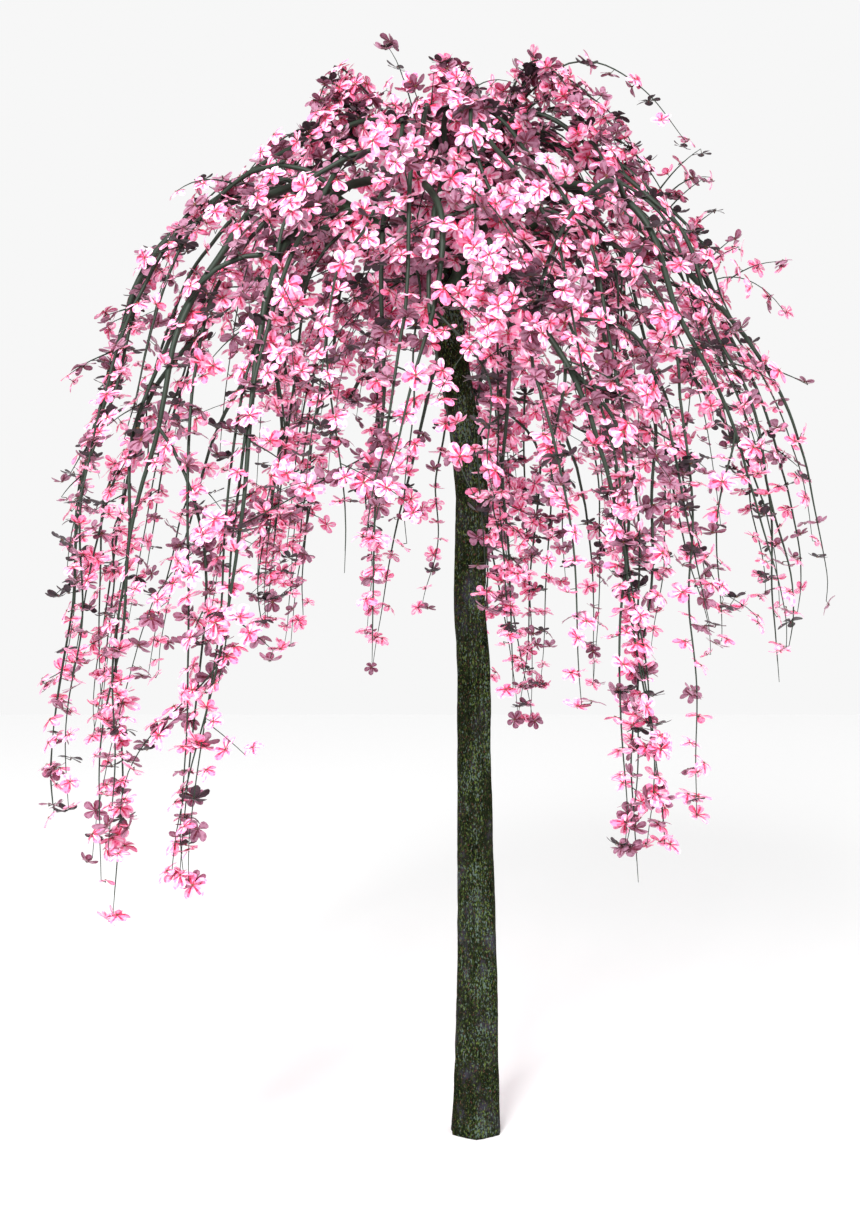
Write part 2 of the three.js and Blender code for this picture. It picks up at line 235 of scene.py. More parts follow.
def distance_out(point):
    """A point's distance from the crown's axis."""
    return math.hypot(point[0] - AXIS[0], point[1] - AXIS[1])


def bough_cuts(node):
    """Middles and radii along a bough or leader of the frame, from the trunk outwards."""
    corners, _ = corners_and_edges(node)
    reach = np.linalg.norm((corners - AXIS)[:, :2], axis=1) + 0.2 * corners[:, 2]
    order = np.argsort(reach)
    near, far = corners[order[:8]].mean(axis=0), corners[order[-8:]].mean(axis=0)
    cuts = [section(node, near + (far - near) * share, unit(far - near))
            for share in np.linspace(0.12, 0.88, 8)]
    return [middle for middle, _ in cuts], [mean_radius(cut) for cut in cuts]


# ---- Curves ----


def smooth(waypoints):
    """Evenly spaced points on a smooth curve through the waypoints."""
    p = np.array(waypoints)
    p = np.vstack([2 * p[0] - p[1], p, 2 * p[-1] - p[-2]])
    t = np.linspace(0, 1, 16, endpoint=False)[:, None]
    runs = []
    for a, b, c, d in zip(p[:-3], p[1:-2], p[2:-1], p[3:]):
        runs.append(0.5 * (2 * b + (c - a) * t + (2 * a - 5 * b + 4 * c - d) * t**2
                           + (3 * b - a - 3 * c + d) * t**3))
    return even(np.vstack(runs + [p[-2:-1]]))


def even(path):
    """A path with its points evenly spaced."""
    along = lengths_along(path)
    stops = np.linspace(0, along[-1], max(3, round(along[-1] / STEP) + 1))
    return np.stack([np.interp(stops, along, path[:, i]) for i in range(3)], axis=1)


def lengths_along(path):
    """How far along a path each of its points is."""
    return np.concatenate([[0], np.cumsum(np.linalg.norm(np.diff(path, axis=0), axis=1))])


def tangents(path):
    """The direction of a path at each of its points."""
    return unit(np.gradient(path, axis=0))


def bend(start, way, end, end_way):
    """A curve from one point and way to another point and way, without its last point."""
    reach = np.linalg.norm(end - start)
    t = np.linspace(0, 1, 8, endpoint=False)[:, None]
    return ((2 * t**3 - 3 * t**2 + 1) * start + (t**3 - 2 * t**2 + t) * way * reach
            + (3 * t**2 - 2 * t**3) * end + (t**3 - t**2) * end_way * reach)


def sway(rng, count):
    """A slow wander sideways of a stem with so many points."""
    t = np.arange(count) * STEP
    waves = [np.sin(t[:, None] * rng.uniform(3, 16) + rng.uniform(0, 6.3, 3)) * rng.normal(0, 1, 3)
             for _ in range(3)]
    return sum(waves) * SWAY * np.minimum(1, t / 0.1)[:, None] / 2


def taper(path, root, tip, power=1.0):
    """Radii that fall from root to tip along a path."""
    share = lengths_along(path) / lengths_along(path)[-1]
    return tip + (root - tip) * (1 - share) ** power


class Curtain:
    """A hanging curtain of shoots: its middle line from the top of the dome to the tips, and how far it
    reaches to the side and outwards."""

    def __init__(self, stations):
        middles, widths, depths = (np.array(each) for each in zip(*stations))
        self.middle = smooth(middles)
        share = lengths_along(self.middle) / lengths_along(self.middle)[-1]
        known = lengths_along(middles) / lengths_along(middles)[-1]
        self.width = np.interp(share, known, np.maximum(widths, FULLNESS * max(widths)))
        self.depth = np.interp(share, known, depths)
        self.way = tangents(self.middle)
        self.side = np.array([outwards(azimuth_of(point) + math.pi / 2) for point in self.middle])
        self.front = unit(np.cross(self.way, self.side))

    def nearest(self, point):
        """The place along the curtain that is nearest to a point."""
        return int(np.argmin(np.linalg.norm(self.middle - point, axis=1)))

    def line(self, first, last, across, out, spread):
        """The points that hang at a share of the curtain's width and depth, between two places."""
        i = np.arange(first, max(first + 3, min(last, len(self.middle))))
        i = np.minimum(i, len(self.middle) - 1)
        gone = (i - i[0]) * STEP
        across = across + spread * gone
        out = np.minimum(np.interp(i / len(self.middle), *OUTERMOST), out + OUTWARD * gone)
        return (self.middle[i] + self.side[i] * (self.width[i] * across)[:, None]
                + self.front[i] * (self.depth[i] * out)[:, None])


def dome_station(azimuth, out):
    """The middle of the dome over a place, with half the width and depth of a tress's share of it; None
    beyond its rim."""
    over = AXIS + outwards(azimuth) * out
    top, normal = dome_skins.ray_cast(Vector(over + UP * 4), Vector((0, 0, -1)))[:2]
    under = dome_skins.ray_cast(Vector(over + UP * 1.5), Vector((0, 0, 1)))[0]
    if not top:
        return None
    middle = over + UP * (top.z + under.z) / 2
    return middle, out * math.tan(math.pi / 2 / SECTORS), (top.z - under.z) / 2 * abs(normal.z)


def tress_station(cut):
    """The middle of a section of a tress, with half its width and depth."""
    middle, ring = cut
    azimuth = azimuth_of(middle)
    return (middle, np.abs((ring - middle) @ outwards(azimuth + math.pi / 2)).max(),
            np.abs((ring - middle) @ outwards(azimuth)).max())


def outer_curtain(index):
    """The curtain of an outer tress, with the strip of dome over it."""
    hanging = [tress_station(cut) for cut in level_cuts(f"tress_{index + 1}", OUTER_CUTS)]
    azimuth, edge = azimuth_of(hanging[0][0]), distance_out(hanging[0][0])
    over = [dome_station(azimuth, out) for out in np.linspace(0.10, edge * 0.86, 7)]
    return Curtain([station for station in over if station] + hanging)


def inner_curtain(index):
    """The curtain of an inner tress."""
    return Curtain([tress_station(cut) for cut in level_cuts(f"inner_tress_{index + 1}", INNER_CUTS)])


# ---- Growth ----


class Stem:
    """A stem: its points, its radius at each, its kind and sector, how far along its flowers start, how
    much of its end is bare, and the gap between its nodes as a share of a shoot's. A free one carries
    flowers even where it leaves the foliage masses."""

    def __init__(self, path, root, tip, kind, sector, power=1.0, flowers_from=0.03, bare_end=0.0, gap=1.0,
                 free=False, stands_for=None):
        self.path, self.radii = path, taper(path, root, tip, power)
        self.kind, self.sector, self.free, self.stands_for = kind, sector, free, stands_for
        self.flowers_from, self.bare_end, self.gap = flowers_from, bare_end, gap


def nearest_leader(leaders, point):
    """The leader whose tip is nearest to a point."""
    return min(leaders, key=lambda stem: np.linalg.norm(stem.path[-1] - point))


def turned_outwards(rng, point, most):
    """The level direction outwards at a point, turned either way by up to so many radians."""
    return outwards(azimuth_of(point) + rng.uniform(-most, most))


def walk(rng, habit, start, heading):
    """The path of a short stem that sets off along a heading, sags under its weight and stops where it
    would leave the foliage masses, unless it grows free."""
    _, lengths, sags, wander, free = habit
    length, sag = rng.uniform(*lengths), rng.uniform(*sags)
    path, heading, gone = [start], unit(heading), 0.0
    while gone < length:
        turn = sag * (0.5 + gone / 0.2) * (1.1 + heading[2]) / 2
        heading = unit(heading - UP * turn * STEP + rng.normal(0, wander, 3) * STEP)
        point = path[-1] + heading * STEP
        gone += STEP
        if not within_limits(point) or not (free or in_crown(point, TWIG_ROOM)):
            break
        path.append(point)
    return np.array(path)


def hang(rng, curtain, parent, at, across, out, length, drop, lift=0.5, spread=0.0):
    """The path of a stem that leaves its parent at a point, arches over, hangs along its own line in a
    curtain, and spreads to one side on its way down."""
    start, way = parent.path[at], tangents(parent.path)[at]
    first = min(curtain.nearest(start) + round(drop / STEP), len(curtain.middle) - 4)
    line = curtain.line(first, first + round(length / STEP), across, out, spread)
    aside = curtain.side[first] * math.copysign(1, (line[0] - start) @ curtain.side[first])
    leave = unit(way * 0.7 + aside * rng.uniform(0.3, 0.8) + UP * lift * rng.uniform(0.3, 1.2))
    path = even(np.vstack([bend(start, leave * 1.3, line[0], tangents(line)[0]), line]))
    path = path + sway(rng, len(path))
    outside = ~within_limits(path)
    path = path[:max(4, outside.argmax())] if outside.any() else path
    while len(path) > 4 and not in_crown(path[-1], FLOWER_ROOM - 0.01):
        path = path[:-1]
    return path


def grow_bough(node, sector):
    """A bough or leader, from the middle of the trunk. A bough has a collar where it leaves it."""
    middles, radii = bough_cuts(node)
    is_leader = sector == SECTORS
    foot = section("trunk", middles[0] - UP * (0.04 if is_leader else 0.05), UP)[0]
    path = smooth([foot] + middles)
    stem = Stem(path, radii[0] * (1.1 if is_leader else 1), radii[-1], "bough", sector)
    if not is_leader:
        stem.radii *= 1 + 0.45 * np.exp(-np.maximum(0, lengths_along(path) - 0.035) / 0.03)
    return stem


def grow_limb(rng, curtain, bough):
    """The limb that a bough sends down an outer tress, leaning away from the parting."""
    lean = -math.copysign(1, math.sin(2 * azimuth_of(curtain.middle[-1])))
    path = hang(rng, curtain, bough, len(bough.path) - 1, across=-lean * rng.uniform(0.2, 0.9),
                out=rng.uniform(-0.2, 0.5), length=ALL_THE_WAY, drop=rng.uniform(0.4, 1.3), lift=-0.7,
                spread=lean * rng.uniform(0.4, 1.1))
    return Stem(path, bough.radii[-1] * 0.85, LIMB_TIP, "limb", bough.sector, power=1.35,
                flowers_from=0.35, gap=1.7)


def grow_shoots(rng, index, curtain, limbs, fountains):
    """The shoots of an outer tress, from its own limb, its neighbours' and one from the top."""
    tips = [box_of(f"tress_{(index + step) % TRESSES + 1}")[0][2] for step in (-1, 1, 0)]
    lower = max(0, (tips[0] + tips[1]) / 2 - tips[2])
    azimuth = azimuth_of(curtain.middle[-1])
    lean = -math.copysign(SHOOTS_LEAN, math.sin(2 * azimuth)) * abs(math.sin(azimuth))
    own, neighbours = limbs[index], [limbs[(index + 1) % TRESSES], limbs[index - 1]]
    parents = [own] * 4 + neighbours + fountains * 2
    stems = []
    count = SHOOTS_IN_TRESS[index]
    for place_across in rng.permutation(count):
        parent = parents[rng.integers(len(parents))]
        # Most shoots leave the limb on the dome, the others all the way down.
        share = rng.uniform(0.02, 0.50) if rng.random() < 0.62 else rng.uniform(0.35, 0.85)
        at = min(len(parent.path) - 3, round(share * len(parent.path)))
        left = len(curtain.middle) - curtain.nearest(parent.path[at])
        on_dome = min(1, max(0, (parent.path[at][2] - 2.1) / 0.4))
        length = (1.05 - 0.62 * (1 - lower / 2) * rng.random()) * left * STEP + 0.1
        across = SHOOTS_ACROSS * (1 + 0.3 * lower) * (2 * (place_across + rng.random()) / count - 1) + lean
        drop = rng.uniform(0.25, 0.55) if parent in neighbours else rng.uniform(0.10, 0.30)
        path = hang(rng, curtain, parent, at, across, out=rng.uniform(-0.95, 0.4), length=length, drop=drop,
                    lift=0.2 + 0.9 * on_dome, spread=rng.normal(0, 0.9) - across * 0.1)
        root = min(SHOOT_ROOT, 0.0034 + 0.0036 * lengths_along(path)[-1], parent.radii[at] * 0.8)
        if not in_parting(path[-1]):
            stems.append(Stem(path, root, HAIR, "shoot", own.sector, power=0.9))
    return stems


def grow_plumb_shoots(rng, limb):
    """Shoots that drop from the high part of a limb straight down into the hollow of the crown."""
    stems = []
    high_part = [i for i, point in enumerate(limb.path)
                 if distance_out(point) < HOLLOW_OUT and point[2] > 2.2]
    for _ in range(PLUMB[0] if high_part else 0):
        at = high_part[rng.integers(len(high_part))]
        heading = turned_outwards(rng, limb.path[at], 2.2) + UP * rng.uniform(0, 0.7)
        path = walk(rng, PLUMB, limb.path[at], heading)
        if len(path) > 5 and not in_parting(path[-1]):
            stems.append(Stem(path, min(0.0028, limb.radii[at] * 0.6), HAIR, "shoot", limb.sector))
    return stems


def grow_inner_tress(rng, bough):
    """The limb that a bough sends down its inner tress, the shoots that hang with it, and short ones
    that hang straight from the bough."""
    sector = bough.sector
    curtain = inner_curtain(sector)
    count = len(bough.path)
    path = hang(rng, curtain, bough, round(count * 0.55), across=rng.uniform(-0.3, 0.3),
                out=rng.uniform(-0.3, 0.5), length=ALL_THE_WAY, drop=0.12, lift=0.1)
    limb = Stem(path, bough.radii[-1] * 0.6, LIMB_TIP, "limb", sector, flowers_from=0.15, gap=1.3)
    stems = [limb]
    for _ in range(SHOOTS_IN_INNER_TRESS):
        parent = (bough, limb)[rng.integers(2)]
        share = rng.uniform(0.35, 0.95) if parent is bough else rng.uniform(0.1, 0.7)
        at = min(len(parent.path) - 2, round(share * len(parent.path)))
        left = (len(curtain.middle) - curtain.nearest(parent.path[at])) * STEP
        path = hang(rng, curtain, parent, at, across=rng.uniform(-1, 1) * 0.95,
                    out=rng.uniform(-0.95, 0.95), length=left * rng.uniform(0.4, 1.0),
                    drop=rng.uniform(0.08, 0.2), lift=0.3)
        if not in_parting(path[-1]):
            root = min(SHOOT_ROOT * 0.8, parent.radii[at] * 0.6)
            stems.append(Stem(path, root, HAIR, "shoot", sector))
    for _ in range(UNDER_BOUGH[0]):
        at = rng.integers(count // 8, count - 2)
        heading = turned_outwards(rng, bough.path[at], 1.6) * 0.8 + UP * rng.uniform(-0.4, 0.5)
        path = walk(rng, UNDER_BOUGH, bough.path[at], heading)
        stems.append(Stem(path, 0.0030, HAIR, "shoot", sector, flowers_from=0.05))
    return stems


def grow_fountains(rng, leaders, curtains):
    """The limbs that arch over from the leaders' tips and come down with the outer tresses."""
    fountains = {}
    for index in rng.permutation(len(curtains))[:FOUNTAINS * len(leaders)]:
        curtain = curtains[index]
        leader = nearest_leader(leaders, curtain.middle[6])
        path = hang(rng, curtain, leader, len(leader.path) - 1, across=rng.uniform(-0.8, 0.8),
                    out=rng.uniform(0.2, 0.7), length=rng.uniform(0.9, 1.8), drop=0.15, lift=0.6)
        fountains[index] = Stem(path, leader.radii[-1] * 0.8, LIMB_TIP, "limb", index // 2, power=0.8,
                                flowers_from=0.3, gap=1.3)
    return fountains


def grow_sprays(rng, leaders, fountains):
    """Short sprays that stand up and nod over: from the limbs that arch over, near the top and on the
    shoulders, and from the leaders' tips all round the top."""
    stems = []
    for number in range(TOP_SPRAY[0]):
        parent = fountains[number % len(fountains)]
        at = rng.integers(len(parent.path) // 12, len(parent.path) // 3)
        heading = UP * rng.uniform(1.0, 1.6) + outwards(rng.uniform(0, 2 * math.pi)) * rng.uniform(0.2, 0.8)
        path = walk(rng, TOP_SPRAY, parent.path[at], heading)
        if len(path) > 3:
            stems.append(Stem(path, 0.0034, HAIR, "twig", SECTORS))
    # Every other one on the shoulders is on the limb that reaches furthest to the thin side, +X.
    furthest = max(fountains, key=lambda stem: stem.path[len(stem.path) // 2][0])
    for number in range(SHOULDER_SPRAY[0]):
        parent = furthest if number % 2 else fountains[(number * 4) % len(fountains)]
        at = round(len(parent.path) * rng.uniform(0.34, 0.50))
        aside = outwards(azimuth_of(parent.path[at]) + rng.normal(0, 0.3))
        path = walk(rng, SHOULDER_SPRAY, parent.path[at], aside * rng.uniform(0.6, 1.2) + UP)
        stems.append(Stem(path, 0.0034, HAIR, "twig", SECTORS, flowers_from=0.04, free=True))
    for number in range(SPRAY[0]):
        leader = leaders[number % len(leaders)]
        aside = outwards(number * GOLDEN_TURN + rng.normal(0, 0.3))
        heading = aside * rng.uniform(0.3, 1.1) + UP * rng.uniform(1.0, 1.8)
        path = walk(rng, SPRAY, leader.path[-1], heading)
        stems.append(Stem(path, 0.0046, HAIR, "limb", SECTORS, flowers_from=0.06))
    return stems


def grow_tufts(leaders):
    """The stems that stand highest: loops that arch over, a spike up each tuft, and one long thin
    shoot that arches far out."""
    stems = []
    for name, (loops, share) in LOOPS.items():
        low, high = box_of(name)
        middle = (low + high) / 2
        rise = high[2] - middle[2]
        foot = nearest_leader(leaders, middle).path[-1]
        azimuth = azimuth_of(middle)
        for loop in range(loops):
            way = outwards(azimuth + (loop - (loops - 1) / 2) * 2.0 / loops)
            crest = middle + UP * (rise - 0.03 - 0.13 * loop / loops) + way * 0.02 * loop
            reach = way * (high[0] - low[0]) * share
            path = smooth([foot, (foot + crest) / 2 + UP * 0.04, crest, crest + reach * 0.4 - UP * 0.035,
                           crest + reach * 0.75 - UP * 0.12, crest + reach * 0.95 - UP * 0.23])
            stems.append(Stem(path, 0.0045, LIMB_TIP, "limb", SECTORS, flowers_from=0.08, gap=0.5,
                              free=True))
        path = smooth([foot, foot * 0.4 + middle * 0.6, middle + UP * rise * 0.4,
                       middle + UP * (rise - 0.03)])
        stems.append(Stem(path, 0.0040, HAIR, "limb", SECTORS, flowers_from=0.12, gap=0.55, free=True))
    way, over = outwards(azimuth), middle * (1, 1, 0)
    path = smooth([foot, (foot + middle) / 2, middle + UP * 0.03]
                  + [over + UP * (high[2] + above) + way * out for out, above in LONE_ARC])
    stems.append(Stem(path, 0.0040, HAIR, "limb", SECTORS, flowers_from=0.2, gap=1.1, free=True))
    return stems


def grow_trailing(rng, limbs):
    """The long bare-ended shoots that trail below the rest, each from the best placed limb above it."""
    stems = []
    for name in [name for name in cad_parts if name.startswith("trailing")]:
        spine = [middle for middle, _ in level_cuts(name, (0.03, 0.25, 0.5, 0.75, 0.98))]
        top = spine[0]
        above = [(limb, i) for limb in limbs for i in range(3, len(limb.path), 3)
                 if top[2] + 0.25 < limb.path[i][2] < top[2] + 0.8 and limb.radii[i] > 0.0018]
        parent, at = min(above, key=lambda pair: np.linalg.norm(
            (pair[0].path[pair[1]] - top) * (1, 1, 0.1)))
        start = bend(parent.path[at], tangents(parent.path)[at], top, unit(spine[1] - top))
        path = even(np.vstack([start, smooth(spine)]))
        shoot = Stem(path, min(0.0044, parent.radii[at]), HAIR, "limb", parent.sector, power=0.7,
                     flowers_from=0.05, bare_end=rng.uniform(0.10, 0.18), gap=1.2, stands_for=name)
        # Its end is a stem of its own, and the lowest one has a last pair of flowers there.
        end = Stem(path[-3:], HAIR, HAIR, "twig", parent.sector,
                   bare_end=0.0 if spine[-1][2] < LOWEST_TIP else 1.0)
        end.radii = shoot.radii[-3:]
        shoot.path, shoot.radii = path[:-2], shoot.radii[:-2]
        stems += [shoot, end]
    return stems


def grow_twigs(rng, shoots):
    """Short twigs along the shoots."""
    twigs = []
    for shoot in shoots:
        along, ways = lengths_along(shoot.path), tangents(shoot.path)
        at = rng.uniform(0.3, 1.0) * TWIG_GAP
        while at < along[-1] - 0.08:
            i = int(np.searchsorted(along, at))
            at += TWIG_GAP * rng.uniform(0.6, 1.4)
            aside = turned_outwards(rng, shoot.path[i], 1.9)
            heading = ways[i] * 0.5 + aside * rng.uniform(0.5, 1.0) + UP * 0.15
            path = walk(rng, TWIG, shoot.path[i], heading)
            if len(path) > 3:
                twigs.append(Stem(path, min(0.0026, shoot.radii[i] * 0.8), HAIR, "twig", shoot.sector))
    return twigs


# ---- Joining ----


def put(name, data):
    """A new object in the scene."""
    made = bpy.data.objects.new(name, data)
    bpy.context.scene.collection.objects.link(made)
    return made


class Bundle:
    """Collects points and faces for one joined mesh. Each face has a place in the finishes' list."""

    def __init__(self):
        self.points, self.groups, self.count = [], {3: [], 4: []}, 0

    def add(self, points, *groups):
        """Adds an array of points, and groups of faces: an array of their corners, three or four to a
        face, and the finish of all or of each."""
        for faces, finish in groups:
            self.groups[faces.shape[1]].append((faces + self.count, np.broadcast_to(finish, len(faces))))
        self.points.append(points)
        self.count += len(points)

    def piece(self, name, finishes, slot, stands_for):
        """Makes the joined mesh, which rides on the root body and stands for solids of the frame."""
        groups = self.groups[3] + self.groups[4]
        corners = np.concatenate([faces.ravel() for faces, _ in groups])
        sizes = np.concatenate([np.full(len(faces), faces.shape[1]) for faces, _ in groups])
        mesh = bpy.data.meshes.new(name)
        for part, count, fields in (
                (mesh.vertices, self.count, {"co": np.vstack(self.points).ravel()}),
                (mesh.loops, len(corners), {"vertex_index": corners.astype(np.int32)}),
                (mesh.polygons, len(sizes), {
                    "loop_start": (np.cumsum(sizes) - sizes).astype(np.int32),
                    "material_index": np.concatenate([finish for _, finish in groups]).astype(np.int32),
                    "use_smooth": np.ones(len(sizes), dtype=bool)})):
            part.add(count)
            for field, values in fields.items():
                part.foreach_set(field, values)
        for each in finishes:
            mesh.materials.append(each)
        mesh.update(calc_edges=True)
        mesh.validate()
        thing = put(name, mesh)
        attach(thing, "root")
        if stands_for:
            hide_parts(*stands_for)


def rings_round(path, sides):
    """Two unit vectors across a path at each of its points, which don't twist along it."""
    along = tangents(path)
    start = np.eye(3)[0 if abs(along[0][0]) < 0.8 else 1]
    across = [unit(start - along[0] * (start @ along[0]))]
    for t in along[1:]:
        last = across[-1]
        across.append(unit(last - t * (last @ t)))
    across = np.array(across)
    over = np.cross(along, across)
    turn = np.arange(sides) * 2 * math.pi / sides
    return across[:, None] * np.cos(turn)[:, None] + over[:, None] * np.sin(turn)[:, None]


def tube_faces(rings, sides):
    """The four-cornered faces of a tube."""
    i, j = np.meshgrid(np.arange(rings - 1) * sides, np.arange(sides), indexing="ij")
    next_j = (j + 1) % sides
    return np.stack([i + j, i + next_j, i + sides + next_j, i + sides + j], -1).reshape(-1, 4)


def fan(ring, sides, tip):
    """The three-cornered faces from a ring of a tube, given by its first point, to a single point."""
    j = np.arange(sides)
    return np.stack([ring + j, ring + (j + 1) % sides, np.full(sides, tip)], -1)


def add_tube(bundle, path, radii, sides, finish=0):
    """A tube along a path, closed in a point beyond its end."""
    rings = path[:, None] + rings_round(path, sides) * radii[:, None, None]
    tip = path[-1] + unit(path[-1] - path[-2]) * radii[-1] * 1.5
    points = np.vstack([rings.reshape(-1, 3), tip])
    cap = fan((len(path) - 1) * sides, sides, len(points) - 1)
    bundle.add(points, (tube_faces(len(path), sides), finish), (cap, finish))


# ---- Flowers ----

# A petal from base to tip: share of its length, and half its width as a share of that.
PETAL = [(0.05, 0.05), (0.30, 0.20), (0.60, 0.345), (0.86, 0.31), (1.0, 0.13)]
STREAK = 0.30  # share of the petal's width that the streak along its middle takes

# Ways a petal is marked, row by row from base to tip: left margin, streak and right margin.
MARKINGS = [[row.split() for row in marks.split(", ")] for marks in (
    "rose pale deep, pale white pink, pink white pale, pale pink pale",
    "rose deep pink, pink deep pale, pale rose pale, pink pale white",
    "deep white rose, rose white pink, pink pale pale, pale pink pink",
    "deep rose deep, deep pink rose, rose pink pink, pink rose pink",
    "rose deep rose, pale rose pale, white pink pale, pale pale white")]

# Each tint's place in the list of finishes for these marks. The first two places are heart and cup.
TINTS = [dict(zip(("deep", "rose", "pink", "pale", "white", "heart", "cup"), places + (0, 1)))
         for places in ((2, 3, 4, 5, 6), (7, 8, 9, 10, 10), (11, 11, 12, 12, 12))]


def petal(length, lift, curl, twist):
    """Points of a petal that lies along +Y and faces +Z, with its margins turned up a little."""
    share, half = np.array(PETAL).T
    across = np.array([-1, -STREAK, STREAK, 1])
    x = half[:, None] * across * length
    z = length * (lift * share + curl * share**2)[:, None] + twist * share[:, None] * x
    z = z + 0.12 * np.abs(x) * (np.abs(across) > 0.5)
    return np.stack([x, np.repeat(share[:, None] * length, 4, 1), z], -1).reshape(-1, 3)


def flower_form(rng):
    """One form of flower, 1 across: its points, and the corners and marks of its four- and
    three-cornered faces."""
    points, quads, tris, count = [], [], [], 0
    lift, curl = rng.uniform(-0.12, 0.22), rng.uniform(-0.48, -0.08)
    for k in range(5):
        face = petal(0.5 * rng.uniform(0.88, 1.06), lift + rng.normal(0, 0.12), curl + rng.normal(0, 0.10),
                     rng.normal(0, 0.18))
        turn = (k + rng.normal(0, 0.10)) * 2 * math.pi / 5
        spin = [[math.cos(turn), math.sin(turn), 0], [-math.sin(turn), math.cos(turn), 0], [0, 0, 1]]
        points.append(face @ np.array(spin))
        marks, flip = MARKINGS[rng.integers(len(MARKINGS))], rng.random() < 0.5
        for row in range(4):
            for column in range(3):
                a = count + row * 4 + column
                quads.append(([a, a + 1, a + 5, a + 4], marks[row][2 - column if flip else column]))
        count += 20
    # The green-brown star at the heart and the cup behind the petals.
    for mark, radii, level, peak in ("heart", (0.09, 0.035), 0.012, 0.05), ("cup", (0.045,), -0.01, -0.11):
        sides = 5 * len(radii)
        turns = np.arange(sides) * 2 * math.pi / sides
        ring = [outwards(a) * radii[j % len(radii)] + UP * level for j, a in enumerate(turns)]
        points.append(np.array(ring + [UP * peak]))
        for j in range(sides):
            pair = [count + j, count + (j + 1) % sides]
            tris.append(((pair if mark == "heart" else pair[::-1]) + [count + sides], mark))
        count += sides + 1
    # Stamens.
    for j in range(5):
        a = (j + rng.uniform(-0.3, 0.8)) * 2 * math.pi / 5
        side = np.array([-math.sin(a), math.cos(a), 0]) * 0.011
        end = outwards(a) * rng.uniform(0.11, 0.16) + UP * rng.uniform(0.05, 0.09)
        points.append(np.array([side + UP * 0.02, -side + UP * 0.02, end]))
        tris.append(([count, count + 1, count + 2], "heart" if j % 2 else "deep"))
        count += 3
    return np.vstack(points), [(np.array(corners), marks) for corners, marks in (zip(*quads), zip(*tris))]


def join_flowers(bundle, flowers):
    """Adds every flower's faces to a bundle, form by form and tint by tint."""
    groups = {}
    for form, tint, *place in flowers:
        groups.setdefault((form, tint), []).append(place)
    for (form, tint), places in sorted(groups.items(), key=lambda item: item[0]):
        points, face_groups = FORMS[form]
        spots, facing, sizes, spins = (np.array(each) for each in zip(*places))
        facing = unit(facing)
        helper = np.where(np.abs(facing[:, 2:]) < 0.9, UP, np.eye(3)[0])
        x = unit(np.cross(helper, facing))
        y = np.cross(facing, x)
        c, s = np.cos(spins)[:, None], np.sin(spins)[:, None]
        x, y = x * c + y * s, y * c - x * s
        turned = (points[None, :, 0:1] * x[:, None] + points[None, :, 1:2] * y[:, None]
                  + points[None, :, 2:3] * facing[:, None])
        placed = (spots[:, None] + turned * sizes[:, None, None]).reshape(-1, 3)
        starts = (np.arange(len(places)) * len(points))[:, None, None]
        bundle.add(placed, *(((faces[None] + starts).reshape(-1, faces.shape[1]),
                              np.tile([TINTS[tint][mark] for mark in marks], len(places)))
                             for faces, marks in face_groups))


def way_a_flower_faces(rng, tint, out, away, level):
    """Fresh flowers look up and outwards, and more outwards the more level their stem runs; those in
    painted mauve shade look any way but up, and those in painted deep shade lie level, so the darkened
    colours go to flowers turned away from the light."""
    if tint == FRESH:
        tip = 1 if rng.random() < 0.8 else -1
        return (out * (rng.uniform(0.25, 0.8) + 0.4 * level) + away * 0.3
                + UP * tip * rng.uniform(0.6, 1.0) * (1 - 0.8 * level) + rng.normal(0, 0.16, 3))
    tip = 1 if rng.random() < 0.4 else -1
    if tint == MAUVE_SHADE:
        return (UP * tip * rng.uniform(0.5, 1.0) - out * rng.uniform(-0.3, 0.8) + away * 0.3
                + rng.normal(0, 0.20, 3))
    return UP * tip + away * 0.25 + rng.normal(0, 0.16, 3)


def flower_along(rng, stem, flowers, stalks):
    """Adds the flowers at the nodes of a stem, with their stalks, to the lists of both. A flower is its
    form, tint, place, the way it faces, its size and how far it is turned."""
    along = lengths_along(stem.path)
    ways = tangents(stem.path)
    first, last = stem.flowers_from + rng.uniform(0, NODE_GAP[0]), along[-1] - stem.bare_end
    if last < 0:
        return
    first = min(first, last)
    gaps = rng.uniform(*NODE_GAP, 200) * stem.gap
    gaps = gaps[:max(1, round((last - first) / gaps.mean()))]
    turn = rng.uniform(0, 2 * math.pi)
    # The last node is at the very end.
    for at in first + (last - first) * np.concatenate([[0], np.cumsum(gaps) / gaps.sum()]):
        spot = np.array([np.interp(at, along, stem.path[:, i]) for i in range(3)])
        way = ways[min(len(ways) - 1, int(np.searchsorted(along, at)))]
        out = outwards(azimuth_of(spot))
        across = unit(np.cross(way, out))
        over = np.cross(across, way)
        shares = TINT_SHARES_LOW if spot[2] < LOW else TINT_SHARES
        for k in range(1 + rng.choice(3, p=FLOWERS_AT_NODE)):
            turn += GOLDEN_TURN + rng.normal(0, 0.4)
            away = unit(across * math.cos(turn) + over * math.sin(turn) - UP * 0.2 - out * 0.55
                        - way * rng.uniform(-0.4, 0.4))
            tint = rng.choice(3, p=shares[min(k, 1)])
            facing = unit(way_a_flower_faces(rng, tint, out, away, 1 - abs(way[2])))
            head = spot + away * rng.uniform(*STALK)
            if (stem.free or in_crown(head, FLOWER_ROOM)) and within_limits(head):
                size = (1 + (TIP_SIZE - 1) * at / along[-1]) * rng.uniform(*FLOWER_ACROSS)
                form, spin = rng.integers(FLOWER_FORMS), rng.uniform(0, 2 * math.pi)
                flowers.append((form, tint, head, facing, size, spin))
                stalks.append((spot, head - facing * 0.005))


# ---- Finishes ----


def linear(code):
    """An sRGB hex colour as linear red, green, blue and alpha."""
    values = [int(code[i:i + 2], 16) / 255 for i in (1, 3, 5)]
    return [v / 12.92 if v <= 0.04045 else ((v + 0.055) / 1.055) ** 2.4 for v in values] + [1.0]


